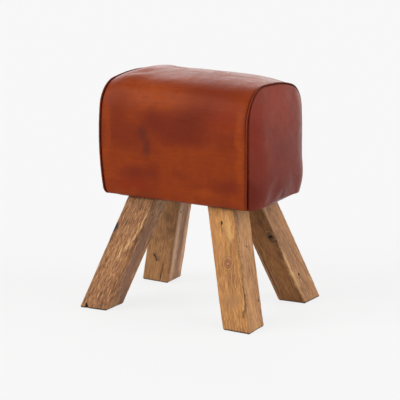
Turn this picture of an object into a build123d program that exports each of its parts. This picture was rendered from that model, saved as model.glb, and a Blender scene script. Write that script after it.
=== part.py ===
from build123d import *

import os
from math import radians, sqrt, tan

# Leather stool: an upholstered box with a crowned top and plump ends on four splayed block legs.
# Millimetres, +Z up. The front long face looks along -Y, and the origin is on the floor at the centre.

# Seat, outside of the leather
seat_height = 500.0
base_height = 242.5
seam_spacing = 346.0
seam_drop = 10.0
belly_width = 248.0
belly_swell = 1.5
belly_rise = 130.0
side_radius = 700.0
shoulder_radius = 55.0
crown_radius = 480.0
lower_edge_radius = 8.0

# Plump end faces, outside of the seams
end_bulge = 13.5
end_roll = 50.0
end_fullness = 2.0
bulge_shares = (0.0, 0.45, 0.75, 0.92, 0.985, 1.0)

# Leather, welts and padding
leather_thickness = 2.0
turn_under = 12.0
welt_diameter = 5.0
welt_proud = 0.3
welt_wall = 1.0
soft_clearance = 0.3
side_padding = 28.0
end_padding = 26.5
top_padding = 46.0

# Plywood box
base_board_thickness = 18.0
end_board_thickness = 15.0
side_board_thickness = 12.0
top_board_thickness = 12.0
box_corner_radius = 10.0
post_side = 22.0
post_headroom = 12.0

# Bottom board and its screws
bottom_board_thickness = 4.0
bottom_board_inset = 4.0
bottom_board_corner = 12.0
small_screw_diameter = 4.0
small_screw_length = 16.0
small_screw_clearance = 0.1
small_head_diameter = 8.0
small_head_height = 2.4
small_head_edge = 1.0
small_screw_margin = 14.0

# Legs
leg_head_inset_x = 63.7
leg_head_inset_y = 40.3
splay_x = 18.2
splay_y = 17.2
leg_thickness = 59.5
leg_width = 63.5
leg_turn = 3.3
leg_arris_radius = 3.0
leg_end_chamfer = 1.5

# Coach screws that hold the legs
coach_diameter = 8.0
coach_bite = 45.0
coach_clearance = 0.2
coach_tip_room = 3.0
coach_head_across = 13.0
coach_head_height = 5.5
coach_shift = 5.0
coach_spread = 10.0
washer_diameter = 22.0
washer_thickness = 1.6

overrun = 20.0

# Sizes worked out from the ones above
seam_half = seam_spacing / 2
belly_half = belly_width / 2
belly_height = base_height + belly_rise
seam_top = seat_height - seam_drop
box_half_length = seam_half + end_bulge - leather_thickness - end_padding
box_half_width = belly_half - leather_thickness - side_padding
box_bottom = base_height + leather_thickness
box_floor = box_bottom + base_board_thickness
box_top = seat_height - leather_thickness - top_padding
pad_split = box_top - top_board_thickness
end_board_face = box_half_length - end_board_thickness
side_board_face = box_half_width - side_board_thickness
post_length = pad_split - box_floor - post_headroom
leg_top = base_height - bottom_board_thickness
leg_head_x = box_half_length - leg_head_inset_x
leg_head_y = box_half_width - leg_head_inset_y
small_screw_pitch_x = box_half_length - bottom_board_inset - small_screw_margin
small_screw_pitch_y = 2 * (box_half_width - bottom_board_inset - small_screw_margin)
coach_head_seat = box_floor + washer_thickness
coach_length = coach_head_seat - leg_top + coach_bite


def shoulder_centre(top, belly):
    """Centre of the arc that touches both the crown arc and the side arc from inside."""
    crown_centre = Vector(0, top - crown_radius)
    side_centre = Vector(belly - side_radius, belly_height)
    between = side_centre - crown_centre
    near = crown_radius - shoulder_radius
    far = side_radius - shoulder_radius
    along = (near**2 - far**2 + between.length**2) / (2 * between.length)
    across = sqrt(near**2 - along**2)
    unit = between.normalized()
    return crown_centre + unit * along + Vector(unit.Y, -unit.X) * across


def arch(top, belly, inset, edge_radius, bottom):
    """Draws drawn-in sides, round shoulders and a crowned top, and returns the outline's two feet."""
    crown_centre = Vector(0, top - crown_radius)
    side_centre = Vector(belly - side_radius, belly_height)
    shoulder = shoulder_centre(top, belly)
    crown_end = crown_centre + (shoulder - crown_centre).normalized() * (crown_radius - inset)
    side_start = side_centre + (shoulder - side_centre).normalized() * (side_radius - inset)
    edge_height = bottom + edge_radius
    edge_reach = sqrt((side_radius - inset - edge_radius) ** 2 - (edge_height - belly_height) ** 2)
    edge_centre = Vector(side_centre.X + edge_reach, edge_height)
    side_end = side_centre + (edge_centre - side_centre).normalized() * (side_radius - inset)
    foot = Vector(edge_centre.X, bottom)
    rising = [(point.X, point.Y) for point in (foot, side_end, side_start, crown_end)]
    falling = [(-across, up) for across, up in reversed(rising)]
    radii = [edge_radius, side_radius - inset, shoulder_radius - inset]
    for start, end, radius in zip(rising, rising[1:], radii):
        RadiusArc(start, end, -radius)
    ThreePointArc(rising[-1], (0, top - inset), falling[0])
    for start, end, radius in zip(falling, falling[1:], reversed(radii)):
        RadiusArc(start, end, -radius)
    return rising[0], falling[-1]


def seat_section(station, top, belly, wall, drawn_in, lift):
    """Outline across the seat at one station along its length, a wall's thickness inside the leather."""
    with BuildSketch(Plane.YZ.offset(station)) as outline:
        with BuildLine():
            bottom = base_height + wall + lift
            feet = arch(top, belly, wall + drawn_in, lower_edge_radius - wall, bottom)
            Line(*feet)
        make_face()
    return outline.sketch


def seat_middle(wall):
    """The seat between its seams, a wall's thickness inside the leather."""
    outlines = [
        seat_section(-seam_half, seam_top, belly_half, wall, 0, 0),
        seat_section(0, seat_height, belly_half + belly_swell, wall, 0, 0),
        seat_section(seam_half, seam_top, belly_half, wall, 0, 0),
    ]
    with BuildPart() as middle:
        loft(outlines)
    return middle.part


def seat_end(wall):
    """The plump end beyond the seam on +X, a wall's thickness inside the leather."""
    depth = end_bulge - wall
    edge = lower_edge_radius - wall
    outlines = []
    for share in bulge_shares:
        reach = share * depth
        drawn_in = (end_roll - wall) * (1 - (1 - share**end_fullness) ** (1 / end_fullness))
        past_edge = max(0, reach - (depth - edge))
        lift = edge - sqrt(edge**2 - past_edge**2)
        outlines.append(seat_section(seam_half + reach, seam_top, belly_half, wall, drawn_in, lift))
    with BuildPart() as end:
        loft(outlines)
    return end.part


def welt_rod(radius):
    """A round rod along the seam on +X, from the lower edge in front to the lower edge behind."""
    with BuildPart() as rod:
        with BuildLine(Plane.YZ.offset(seam_half)) as path:
            arch(seam_top, belly_half, -welt_proud, lower_edge_radius + welt_proud, base_height - welt_proud)
        with BuildSketch(Plane(path.line @ 0, z_dir=path.line % 0)):
            Circle(radius)
        sweep(path=path.line)
        split(bisect_by=Plane.XY.offset(base_height), keep=Keep.TOP)
    return rod.part


def block(low, high):
    """A plain block between two opposite corners, used to cut pieces apart."""
    with BuildPart() as cutter:
        with BuildSketch(Plane.XY.offset(low[2])):
            with Locations(((low[0] + high[0]) / 2, (low[1] + high[1]) / 2)):
                Rectangle(high[0] - low[0], high[1] - low[1])
        extrude(amount=high[2] - low[2])
    return cutter.part


def box_outline(station, bottom):
    """Outline of the plywood box across the seat, with its two upper corners rounded."""
    with BuildSketch(Plane.YZ.offset(station)) as outline:
        with Locations((0, bottom)):
            Rectangle(2 * box_half_width, box_top - bottom, align=(Align.CENTER, Align.MIN))
        fillet(outline.vertices().group_by(Axis.Y)[-1], box_corner_radius)
    return outline.sketch


def coach_points(height):
    """Places of the coach screws, two over each leg's top, given to its outer side."""
    points = []
    for side_x in (1, -1):
        for side_y in (1, -1):
            for turn in (1, -1):
                along = side_x * (leg_head_x + coach_shift + turn * coach_spread)
                across = side_y * (leg_head_y + coach_shift - turn * coach_spread)
                points.append((along, across, height))
    return points


def small_screw_grid():
    """Places of the bottom board's screws."""
    return GridLocations(small_screw_pitch_x, small_screw_pitch_y, 3, 2)


def finish(piece, name):
    """Labels a finished piece and writes it."""
    piece.label = name
    export_step(piece, f"parts/{name}.step")


os.makedirs("parts", exist_ok=True)

# Shared forms
skin_middle = seat_middle(0)
skin_end = seat_end(0)
lining_middle = seat_middle(leather_thickness)
lining_end = seat_end(leather_thickness)
padding_middle = seat_middle(leather_thickness + soft_clearance)
padding_end = seat_end(leather_thickness + soft_clearance)
seat_reach = seam_half + end_bulge + overrun
belly_reach = belly_half + overrun
crown_reach = seat_height + overrun
floor_reach = base_height - overrun
turned_x = box_half_length - turn_under
turned_y = box_half_width - turn_under
welt_gap = welt_diameter / 2 + soft_clearance / 2
wrap_edge = seam_half - welt_gap
end_edge = seam_half + welt_gap

# Leather: one hide over the front, top and back, turned under the box
with BuildPart() as leather_wrap:
    add(skin_middle)
    add(lining_middle, mode=Mode.SUBTRACT)
    between_welts = block((-wrap_edge, -belly_reach, floor_reach), (wrap_edge, belly_reach, crown_reach))
    add(between_welts, mode=Mode.INTERSECT)
    opening = block((-seat_reach, -turned_y, floor_reach), (seat_reach, turned_y, box_floor))
    add(opening, mode=Mode.SUBTRACT)
finish(leather_wrap.part, "leather_wrap")

# Leather: a plump panel over each end, with its own turned edge
with BuildPart() as leather_end:
    add(skin_end)
    add(lining_end, mode=Mode.SUBTRACT)
    beyond_welt = block((end_edge, -belly_reach, floor_reach), (seat_reach, belly_reach, crown_reach))
    add(beyond_welt, mode=Mode.INTERSECT)
    add(block((turned_x, -turned_y, base_height), (end_edge, turned_y, box_bottom)))
finish(leather_end.part, "leather_end_right")
finish(mirror(leather_end.part, about=Plane.YZ), "leather_end_left")

# Welts: a leather sleeve over a cord, sewn into each end seam
with BuildPart() as welt:
    add(welt_rod(welt_diameter / 2))
    add(welt_rod(welt_diameter / 2 - welt_wall), mode=Mode.SUBTRACT)
finish(welt.part, "welt_right")
finish(mirror(welt.part, about=Plane.YZ), "welt_left")

with BuildPart() as welt_cord:
    add(welt_rod(welt_diameter / 2 - welt_wall))
finish(welt_cord.part, "welt_cord_right")
finish(mirror(welt_cord.part, about=Plane.YZ), "welt_cord_left")

# Padding: foam sheets over the box, each cut flat where it meets the next
with BuildPart() as box_form:
    extrude(box_outline(-box_half_length, base_height), amount=2 * box_half_length)

with BuildPart() as foam_top:
    add(padding_middle)
    over_box = block((-box_half_length, -belly_reach, pad_split), (box_half_length, belly_reach, crown_reach))
    add(over_box, mode=Mode.INTERSECT)
    add(box_form.part, mode=Mode.SUBTRACT)
finish(foam_top.part, "foam_top")

with BuildPart() as foam_side:
    add(padding_middle)
    before_box = block((-box_half_length, -belly_reach, floor_reach), (box_half_length, -box_half_width, pad_split))
    add(before_box, mode=Mode.INTERSECT)
finish(foam_side.part, "foam_front")
finish(mirror(foam_side.part, about=Plane.XZ), "foam_back")

with BuildPart() as foam_end:
    add(padding_middle)
    beyond_box = block((box_half_length, -belly_reach, floor_reach), (seat_reach, belly_reach, crown_reach))
    add(beyond_box, mode=Mode.INTERSECT)
    add(padding_end)
finish(foam_end.part, "foam_end_right")
finish(mirror(foam_end.part, about=Plane.YZ), "foam_end_left")

# Plywood box
small_hole = small_screw_diameter / 2 + small_screw_clearance
coach_hole = coach_diameter / 2 + coach_clearance

with BuildPart() as base_board:
    with BuildSketch(Plane.XY.offset(box_bottom)):
        Rectangle(2 * box_half_length, 2 * box_half_width)
        with Locations(*coach_points(0)):
            Circle(coach_hole, mode=Mode.SUBTRACT)
        with small_screw_grid():
            Circle(small_hole, mode=Mode.SUBTRACT)
    extrude(amount=base_board_thickness)
finish(base_board.part, "base_board")

with BuildPart() as end_board:
    extrude(box_outline(end_board_face, box_floor), amount=end_board_thickness)
finish(end_board.part, "end_board_right")
finish(mirror(end_board.part, about=Plane.YZ), "end_board_left")

with BuildPart() as side_board:
    add(block((-end_board_face, -box_half_width, box_floor), (end_board_face, -side_board_face, pad_split)))
finish(side_board.part, "side_board_front")
finish(mirror(side_board.part, about=Plane.XZ), "side_board_back")

with BuildPart() as top_board:
    extrude(box_outline(-end_board_face, box_floor), amount=2 * end_board_face)
    split(bisect_by=Plane.XY.offset(pad_split), keep=Keep.TOP)
finish(top_board.part, "top_board")

with BuildPart() as corner_posts:
    with BuildSketch(Plane.XY.offset(box_floor)):
        with GridLocations(2 * end_board_face - post_side, 2 * side_board_face - post_side, 2, 2):
            Rectangle(post_side, post_side)
    extrude(amount=post_length)
finish(corner_posts.part, "corner_posts")

# Bottom board over the leather's turned edges, and its round-head screws
with BuildPart() as bottom_board:
    with BuildSketch(Plane.XY.offset(leg_top)):
        board_length = 2 * (box_half_length - bottom_board_inset)
        board_width = 2 * (box_half_width - bottom_board_inset)
        RectangleRounded(board_length, board_width, bottom_board_corner)
        with Locations(*coach_points(0)):
            Circle(coach_hole, mode=Mode.SUBTRACT)
        with small_screw_grid():
            Circle(small_hole, mode=Mode.SUBTRACT)
    extrude(amount=bottom_board_thickness)
finish(bottom_board.part, "bottom_board")

with BuildPart() as bottom_board_screws:
    with BuildSketch(Plane.XY.offset(leg_top)):
        with small_screw_grid():
            Circle(small_head_diameter / 2)
    extrude(amount=-small_head_height)
    chamfer(bottom_board_screws.faces().group_by(Axis.Z)[0].edges(), small_head_edge)
    with BuildSketch(Plane.XY.offset(leg_top)):
        with small_screw_grid():
            Circle(small_screw_diameter / 2)
    extrude(amount=small_screw_length)
finish(bottom_board_screws.part, "bottom_board_screws")

# Coach screws and washers, put in from inside the box before it is closed
with BuildPart() as washers:
    with BuildSketch(Plane.XY.offset(box_floor)):
        with Locations(*coach_points(0)):
            Circle(washer_diameter / 2)
            Circle(coach_hole, mode=Mode.SUBTRACT)
    extrude(amount=washer_thickness)
finish(washers.part, "washers")

with BuildPart() as coach_screws:
    with BuildSketch(Plane.XY.offset(coach_head_seat)):
        with Locations(*coach_points(0)):
            RegularPolygon(coach_head_across / 2, side_count=6, major_radius=False)
    extrude(amount=coach_head_height)
    with BuildSketch(Plane.XY.offset(coach_head_seat)):
        with Locations(*coach_points(0)):
            Circle(coach_diameter / 2)
    extrude(amount=-coach_length)
finish(coach_screws.part, "coach_screws")

# Legs: square blocks leaning out both ways, cut level at the floor and under the seat
leg_axis = Vector(-tan(radians(splay_x)), tan(radians(splay_y)), 1) * leg_top
foot_centre = Vector(leg_head_x, -leg_head_y, leg_top) - leg_axis
leg_plane = Plane(origin=foot_centre, x_dir=(1, 0, 0), z_dir=leg_axis).rotated((0, 0, -leg_turn))
leg_reach = leg_axis.length + leg_width

with BuildPart() as leg:
    with BuildSketch(leg_plane.offset(-leg_width)):
        RectangleRounded(leg_thickness, leg_width, leg_arris_radius)
    extrude(amount=leg_reach + leg_width)
    split(bisect_by=Plane.XY, keep=Keep.TOP)
    split(bisect_by=Plane.XY.offset(leg_top), keep=Keep.BOTTOM)
    chamfer(leg.faces().sort_by(Axis.Z)[0].edges(), leg_end_chamfer)
    chamfer(leg.faces().sort_by(Axis.Z)[-1].edges(), leg_end_chamfer)
    over_leg = [point for point in coach_points(leg_top) if point[0] > 0 > point[1]]
    with Locations(*over_leg):
        Hole(coach_hole, depth=coach_bite + coach_tip_room)
finish(leg.part, "leg_front_right")
finish(mirror(leg.part, about=Plane.YZ), "leg_front_left")
finish(mirror(leg.part, about=Plane.XZ), "leg_back_right")
finish(mirror(mirror(leg.part, about=Plane.XZ), about=Plane.YZ), "leg_back_left")
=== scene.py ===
from math import atan2, cos, exp, hypot, pi, radians, sin, sqrt, tan

import bmesh
import bpy
import numpy as np
from bpy.props import FloatProperty, FloatVectorProperty, IntProperty, PointerProperty
from mathutils import Matrix, Vector, noise


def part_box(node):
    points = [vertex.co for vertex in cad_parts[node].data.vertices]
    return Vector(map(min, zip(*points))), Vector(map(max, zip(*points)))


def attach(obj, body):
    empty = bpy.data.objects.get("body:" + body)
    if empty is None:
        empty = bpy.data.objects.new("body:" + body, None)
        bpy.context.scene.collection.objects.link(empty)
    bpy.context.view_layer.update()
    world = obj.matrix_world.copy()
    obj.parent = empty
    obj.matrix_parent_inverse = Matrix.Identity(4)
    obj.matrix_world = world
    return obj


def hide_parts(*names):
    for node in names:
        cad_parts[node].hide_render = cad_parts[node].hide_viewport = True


bl_info = {
    "name": "Leather stool",
    "version": (1, 0, 0),
    "blender": (4, 5, 0),
    "location": "3D View > Sidebar > Stool",
    "description": "Dresses the frame of a leather stool with sewn panels, welts and rough block legs",
    "category": "Object",
}

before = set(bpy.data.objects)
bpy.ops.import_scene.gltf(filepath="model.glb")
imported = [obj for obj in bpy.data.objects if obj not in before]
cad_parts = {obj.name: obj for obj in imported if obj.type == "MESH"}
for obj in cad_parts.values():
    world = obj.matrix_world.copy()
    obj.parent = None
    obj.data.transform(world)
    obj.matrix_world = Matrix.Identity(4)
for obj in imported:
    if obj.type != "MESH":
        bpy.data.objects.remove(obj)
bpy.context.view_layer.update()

wrap_low, wrap_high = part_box("leather_wrap")
end_low, end_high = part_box("leather_end_right")
welt_low, welt_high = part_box("welt_right")
board_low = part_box("bottom_board")[0]
screws_low, screws_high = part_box("bottom_board_screws")
plywood_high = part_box("base_board")[1]
seam_x = (welt_low.x + welt_high.x) / 2

# How far inside the box the turned edge of the leather ends, and how far inside it the legs' tops stand
turned_edge = 0.012
head_inset_x, head_inset_y = 0.0637, 0.0403


class Link:
    """An output of a node that takes part in sums; each operation adds a Math node."""

    def __init__(self, tree, socket):
        self.tree = tree
        self.socket = socket

    def math(self, operation, *terms):
        return self.tree.add("ShaderNodeMath", {"operation": operation}, dict(enumerate(terms)))

    def __add__(self, other):
        return self.math("ADD", self, other)

    def __radd__(self, other):
        return self.math("ADD", other, self)

    def __sub__(self, other):
        return self.math("SUBTRACT", self, other)

    def __rsub__(self, other):
        return self.math("SUBTRACT", other, self)

    def __mul__(self, other):
        return self.math("MULTIPLY", self, other)

    def __rmul__(self, other):
        return self.math("MULTIPLY", other, self)

    def __truediv__(self, other):
        return self.math("DIVIDE", self, other)

    def __pow__(self, other):
        return self.math("POWER", self, other)

    def sine(self):
        return self.math("SINE", self)

    def larger(self, other):
        return self.math("MAXIMUM", self, other)


class Tree:
    """Adds nodes to a node tree: the settings of a node first, then the values or links of its inputs."""

    def __init__(self, node_tree):
        self.node_tree = node_tree

    def add(self, kind, settings=None, inputs=None, output=0):
        node = self.node_tree.nodes.new(kind)
        for name, value in (settings or {}).items():
            if name == "stops":
                elements = node.color_ramp.elements
                for index, (position, colour) in enumerate(value):
                    stop = elements[index] if index < 2 else elements.new(position)
                    stop.position = position
                    stop.color = (*colour, 1)
            else:
                setattr(node, name, value)
        for key, value in (inputs or {}).items():
            if isinstance(value, Link):
                self.node_tree.links.new(value.socket, node.inputs[key])
            else:
                node.inputs[key].default_value = value
        return Link(self, node.outputs[output]) if node.outputs else node

    def vector(self, operation, a, b):
        return self.add("ShaderNodeVectorMath", {"operation": operation}, {0: a, 1: b})


class Finish(Tree):
    """A material whose colour, gloss and relief come from nodes."""

    def __init__(self, name):
        self.material = bpy.data.materials.new(name)
        self.material.use_nodes = True
        self.material.node_tree.nodes.clear()
        super().__init__(self.material.node_tree)

    def place(self):
        return self.add("ShaderNodeTexCoord", output="Object")

    def attribute(self, name, output="Fac"):
        return self.add("ShaderNodeAttribute", {"attribute_name": name}, output=output)

    def part(self, place, axis):
        return self.add("ShaderNodeSeparateXYZ", {}, {0: place}, axis)

    def scaled(self, place, factors):
        return self.vector("MULTIPLY", place, factors)

    def noise(self, place, scale, detail=3.0, roughness=0.5, distortion=0.0, output=0):
        inputs = {"Vector": place, "Scale": scale, "Detail": detail}
        inputs |= {"Roughness": roughness, "Distortion": distortion}
        return self.add("ShaderNodeTexNoise", {}, inputs, output)

    def cells(self, place, scale, feature="F1"):
        return self.add("ShaderNodeTexVoronoi", {"feature": feature}, {"Vector": place, "Scale": scale})

    def span(self, value, low, high, to_low=0.0, to_high=1.0):
        """Goes softly from to_low to to_high while the value goes from low to high."""
        inputs = {0: value, 1: low, 2: high, 3: to_low, 4: to_high}
        return self.add("ShaderNodeMapRange", {"interpolation_type": "SMOOTHSTEP"}, inputs)

    def mix(self, share, a, b, blend="MIX"):
        a, b = ((*colour, 1) if isinstance(colour, tuple) else colour for colour in (a, b))
        settings = {"data_type": "RGBA", "blend_type": blend}
        return self.add("ShaderNodeMix", settings, {0: share, 6: a, 7: b}, 2)

    def layered(self, colour, *layers):
        """Lays tones over a colour one after the other, each by its own share."""
        for share, tone in layers:
            colour = self.mix(share, colour, tone)
        return colour

    def warp(self, place, scale, amount):
        """Moves a place about by a soft noise, so that what is drawn there gets an irregular edge."""
        colour = self.noise(place, scale, detail=4.0, output=1)
        centred = self.vector("SUBTRACT", colour, (0.5, 0.5, 0.5))
        return self.vector("ADD", place, self.scaled(centred, (amount, amount, amount)))

    def distance(self, place, centre, radii):
        """How far a place is from a centre, counted in radii."""
        offset = self.scaled(self.vector("SUBTRACT", place, centre), tuple(1 / radius for radius in radii))
        return self.add("ShaderNodeVectorMath", {"operation": "LENGTH"}, {0: offset}, output=1)

    def blot(self, place, centre, radii, softness):
        """One inside an ellipsoid and nought outside it, with a soft edge."""
        return self.span(self.distance(place, centre, radii), 1 - softness, 1 + softness, 1.0, 0.0)

    def relief(self, *layers):
        """Bumps laid over each other, each with its height, distance and strength."""
        normal = None
        for height, distance, strength in layers:
            below = {"Normal": normal} if normal else {}
            inputs = {"Height": height, "Distance": distance, "Strength": strength}
            normal = self.add("ShaderNodeBump", {}, inputs | below)
        return normal

    def close(self, **inputs):
        """Adds the surface shader, whose inputs are given in lower case with underscores."""
        titles = {name: name.replace("_", " ").title().replace("Ior", "IOR") for name in inputs}
        shader = self.add("ShaderNodeBsdfPrincipled", {}, {titles[name]: inputs[name] for name in inputs})
        self.add("ShaderNodeOutputMaterial", {}, {"Surface": shader})
        return self.material


def leather(name, tones, blots, brush, groove, ior):
    """Waxed hide: clouds, stains, streaks, pebbles, creases and puckers, and painted shade that darkens it
    into a dark groove at its seams.
    """
    plain, dark, bright = tones
    reach, strength = groove
    pucker_pitch = 0.0075
    finish = Finish(name)
    span = finish.span
    place = finish.place()
    seam = finish.attribute("seam")
    warped = finish.warp(place, 16.0, 0.035)
    clouds = finish.noise(warped, 13.0, 5.0, 0.6)
    mottle = finish.noise(place, 60.0, 6.0, 0.7)
    streaks = finish.noise(finish.scaled(place, brush), 190.0, 4.0, 0.65)
    pebbles = finish.cells(finish.warp(place, 300.0, 0.0012), 620.0, "DISTANCE_TO_EDGE")
    creases = finish.cells(finish.scaled(warped, (1.0, 1.0, 2.2)), 45.0, "DISTANCE_TO_EDGE")
    grain = span(pebbles, 0.0, 0.16)
    broken = span(mottle + streaks, 0.7, 1.2, 0.7, 1.0)
    stains = [
        (finish.blot(warped, *where, softness=0.75) * broken * amount, tint)
        for *where, tint, amount in blots
    ]
    colour = finish.layered(
        plain,
        (span(clouds, 0.38, 0.6, 0.45, 0.0), dark),
        (span(clouds + mottle * 0.25, 0.7, 0.88), bright),
        *stains,
        (span(streaks, 0.5, 0.75, 0.0, 0.16), bright),
        (span(streaks, 0.5, 0.28, 0.0, 0.16), dark),
        (span(mottle, 0.3, 0.7, 0.2, 0.0), dark),
        ((1 - grain) * 0.28, dark),
        # Painted shade: the hide darkens towards each seam, to near black in the groove beside the welt.
        (span(seam, 0.3 * reach, reach, strength, 0.0), tuple(0.12 * share for share in dark)),
        (span(seam, 0.0, 4 * reach, 0.3 * strength, 0.0), dark),
    )
    rough = span(finish.noise(place, 25.0, 4.0), 0.3, 0.7, 0.2, 0.32)
    rough = rough + (1 - grain) * 0.1 + (streaks - 0.5) * 0.25
    pucker = (finish.attribute("along") * (2 * pi / pucker_pitch) + finish.noise(place, 80.0) * 5.0).sine()
    relief = finish.relief(
        (span(creases, 0.0, 0.08), 0.00025, 0.3),
        (finish.noise(warped, 35.0), 0.0018, 0.3),
        (streaks, 0.0004, 0.4),
        (pucker * span(seam, 0.002, 0.012, 1.0, 0.0), 0.0003, 0.6),
        (grain, 0.00012, 0.6),
    )
    return finish.close(base_color=colour, roughness=rough, ior=ior, normal=relief)


def welt_leather(name, dark, worn):
    """Hide drawn over a cord: painted shade darkens both its sides where they face along the seat, and the
    crest keeps the hide's own lighter tone.
    """
    finish = Finish(name)
    span = finish.span
    place = finish.place()
    facing_for_painted_shade = finish.part(finish.add("ShaderNodeNewGeometry", output="Normal"), 0)
    facing_for_painted_shade = (facing_for_painted_shade * facing_for_painted_shade) ** 0.5
    mottle = finish.noise(place, 150.0, 5.0, 0.7)
    wrinkles = finish.cells(finish.warp(place, 200.0, 0.002), 420.0, "DISTANCE_TO_EDGE")
    patches = span(mottle + finish.attribute("crest") * 0.4, 0.3, 0.8, 0.45, 1.0)
    # Painted shade: the sides that face along the seat are darkened, while the crest keeps the lighter tone.
    colour = finish.mix(span(facing_for_painted_shade, 0.4, 0.85, 1.0, 0.0) * patches, dark, worn)
    rough = span(mottle, 0.3, 0.7, 0.4, 0.55)
    relief = finish.relief((span(wrinkles, 0.0, 0.12), 0.00018, 0.7))
    return finish.close(base_color=colour, roughness=rough, ior=1.12, normal=relief)


def block_wood(name, tones, pith, shift, coarse, marks):
    """Rough block of tropical wood: ring figure, coarse flame, fibres, pores, knots, stains and splits, with
    painted contact shade at the foot and a painted highlight along the top end.
    """
    sapwood, heartwood, shadow, pale = tones
    painted_contact_shade = (0.02, 0.01, 0.006)
    ring_pitch = 0.0068
    contact_shade_low, contact_shade_high, top_highlight_low, top_highlight_high = 0.0026, 0.0056, 0.2405, 0.2435
    finish = Finish(name)
    span = finish.span
    grain = finish.attribute("grain", "Vector")
    start = finish.vector("ADD", grain, shift)
    waved = finish.warp(finish.scaled(start, (1.0, 1.0, 0.35)), 18.0, 0.02)
    across, deep = (finish.part(waved, axis) + pith[axis] for axis in (0, 1))
    reach = (across * across + deep * deep) ** 0.5
    rings = (reach * (2 * pi / ring_pitch) + finish.noise(waved, 30.0) * 2.5).sine() * 0.5 + 0.5
    flame = finish.noise(finish.scaled(start, (1.0, 1.0, 0.11)), 520.0, 3.0, 0.65, 0.6)
    fibres = finish.noise(finish.scaled(start, (1.0, 1.0, 0.08)), 620.0, 3.0, 0.6)
    broad = finish.noise(finish.scaled(start, (1.0, 1.0, 0.3)), 22.0, 4.0, 0.6)
    flecks = span(finish.cells(finish.scaled(start, (1.0, 1.0, 0.2)), 300.0), 0.1, 0.28, 1.0, 0.0)
    flecks = flecks * span(finish.noise(start, 60.0), 0.44, 0.58)
    colour = finish.layered(
        finish.mix(span(broad, 0.36, 0.62), heartwood, sapwood),
        (rings * 0.22, heartwood),
        (span(flame, 0.52, 0.63) * coarse, pale),
        (span(flame, 0.48, 0.38) * coarse, shadow),
        (span(fibres, 0.5, 0.7) * 0.35, pale),
        (span(fibres, 0.5, 0.32) * 0.4, shadow),
        (flecks * 0.55, shadow),
        (span(finish.attribute("wear"), 0.0, 1.0, 0.0, 0.5), pale),
    )
    depth = rings * -0.2 + flame * coarse + fibres * 0.3 - flecks * 0.5
    soft_edged, knotty, ragged = (
        finish.warp(grain, *waves) for waves in ((90.0, 0.009), (160.0, 0.004), (220.0, 0.0025))
    )
    for kind, centre, radii, tint in marks:
        if kind == "knot":
            distance = finish.distance(knotty, centre, radii)
            ripple = (distance * (2 * pi * 1.7) - 1.2).sine() * 0.5 + 0.5
            fade = span(distance, 0.5, 2.1, 1.0, 0.0)
            colour = finish.layered(
                colour,
                (ripple * fade * 0.75, tint),
                ((1 - ripple) * fade * 0.15, pale),
                (span(distance, 0.5, 0.9, 0.8, 0.0), tint),
            )
            if tint[0] > 0.1:
                colour = finish.mix(span(distance, 0.12, 0.34, 0.4, 0.0), colour, pale)
            depth = depth - ripple * fade * 0.6
        # Painted shade: holes, splits and voids are coloured near black or dark brown for the shade inside
        # them, and dented into the surface.
        elif kind in ("hole", "void"):
            mask = finish.blot(ragged, centre, radii, softness=0.35)
            colour = finish.mix(mask, colour, tint)
            depth = depth - mask * 3.0
        elif kind == "tint":
            mask = finish.blot(grain, centre, radii, softness=0.2)
            colour = finish.mix(mask, colour, tint, "MULTIPLY")
        else:
            mask = finish.blot(soft_edged, centre, radii, softness=0.55) * span(flame, 0.3, 0.6, 0.5, 1.0)
            colour = finish.mix(mask * 0.8, colour, tint)
    height = finish.part(finish.place(), 2) + finish.noise(start, 120.0) * 0.002
    # Painted shade: near black where the foot meets the floor.
    colour = finish.mix(span(height, contact_shade_low, contact_shade_high, 0.92, 0.0), colour, painted_contact_shade)
    # Painted highlight: a pale band along the top end, where the lit top edge shows under the seat.
    colour = finish.mix(span(height, top_highlight_low, top_highlight_high, 0.0, 0.5), colour, pale)
    rough = span(flame, 0.3, 0.7, 0.62, 0.48)
    relief = finish.relief((depth, 0.0009, 0.75))
    return finish.close(base_color=colour, roughness=rough, ior=1.3, normal=relief)


def board_wood(name, pale, dark, stretch, pitch, gloss):
    """Plain board, pale or stained, with long fibres and soft bands."""
    finish = Finish(name)
    drawn_out = finish.scaled(finish.place(), stretch)
    fibres = finish.noise(drawn_out, 260.0, 5.0, 0.65)
    bands = finish.noise(drawn_out, pitch, distortion=1.2)
    colour = finish.mix(finish.span(bands * 0.6 + fibres * 0.5, 0.4, 0.72), dark, pale)
    rough = finish.span(fibres, 0.3, 0.7, gloss, gloss + 0.15)
    return finish.close(base_color=colour, roughness=rough, normal=finish.relief((fibres, 0.0004, 0.5)))


def steel(name):
    """Zinc-plated screw steel with a faint cloudy bloom."""
    finish = Finish(name)
    place = finish.place()
    bloom = finish.noise(place, 160.0, 5.0)
    scuffs = finish.noise(finish.scaled(place, (1.0, 1.0, 8.0)), 900.0, 2.0)
    colour = finish.mix(finish.span(bloom, 0.35, 0.65), (0.42, 0.4, 0.37), (0.66, 0.64, 0.6))
    rough = finish.span(bloom, 0.3, 0.7, 0.5, 0.3)
    relief = finish.relief((scuffs, 0.00005, 0.4))
    return finish.close(base_color=colour, metallic=1.0, roughness=rough, normal=relief)


def arc(centre, radius, start, end, count):
    """Points along an arc, angles in radians."""
    angles = np.linspace(start, end, count)
    return np.column_stack((centre[0] + radius * np.cos(angles), centre[1] + radius * np.sin(angles)))


def resampled(points, count):
    """The same line with its length divided into equal steps."""
    steps = np.hypot(*np.diff(points, axis=0).T)
    lengths = np.concatenate(([0.0], np.cumsum(steps)))
    wanted = np.linspace(0.0, lengths[-1], count)
    return np.column_stack([np.interp(wanted, lengths, column) for column in points.T])


def slope(start, end):
    return atan2(end[1] - start[1], end[0] - start[0])


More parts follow.
